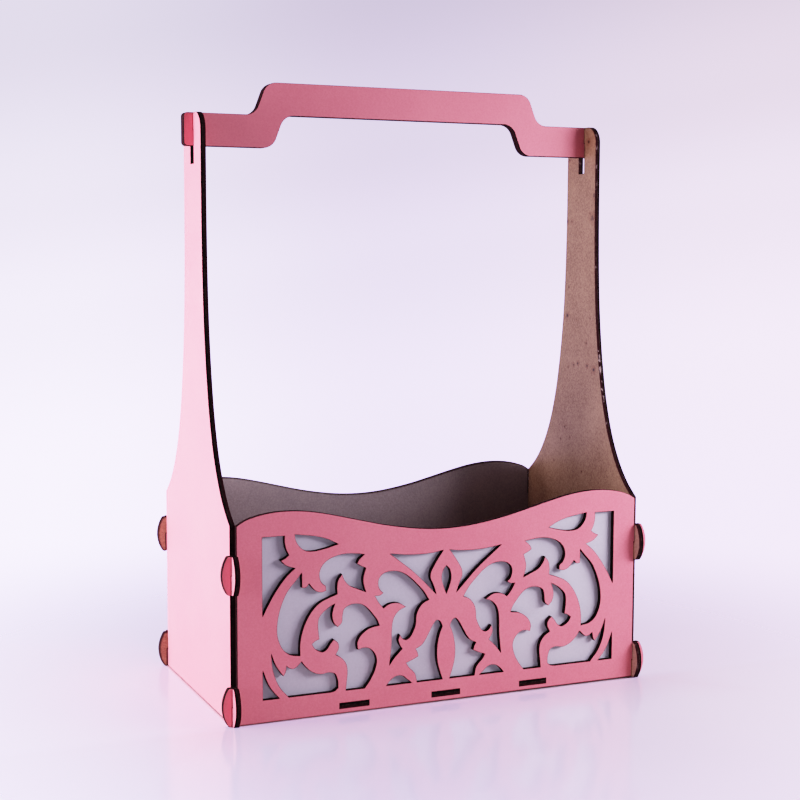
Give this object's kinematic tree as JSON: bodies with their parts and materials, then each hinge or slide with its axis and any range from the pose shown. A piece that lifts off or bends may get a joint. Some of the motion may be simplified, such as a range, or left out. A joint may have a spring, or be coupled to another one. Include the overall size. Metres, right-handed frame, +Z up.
{
  "type": "carrying basket",
  "caption": "Open-top rectangular carrying basket of slotted flat boards with a scrollwork openwork front, a white liner behind it, flared side panels and a drop-out bar handle.",
  "frame": {"origin": "bottom centre of the standing basket, on the surface it stands on", "axes": "+X across the width towards the right side panel, -Y out of the openwork front, +Z up towards the handle"},
  "size_m": [0.2606, 0.1464, 0.3452],
  "materials": {
    "pink_board": "satin pink paint on the outer face, raw brown hardboard inside, charred cut edges",
    "raw_board": "raw smooth hardboard with fine speckle, charred cut edges",
    "white_board": "smooth white face"
  },
  "bodies": {
    "basket": {"left_side_panel": "pink_board", "right_side_panel": "pink_board", "front_panel": "pink_board", "back_panel": "pink_board", "bottom_panel": "raw_board", "front_liner": "white_board"},
    "handle": {"handle_front_layer": "pink_board", "handle_rear_layer": "pink_board"}
  },
  "joints": [
    {"name": "handle_drop", "type": "slide", "parent": "basket", "child": "handle", "axis": [0, 0, -1], "range_m": [0, 0.0095]}
  ]
}
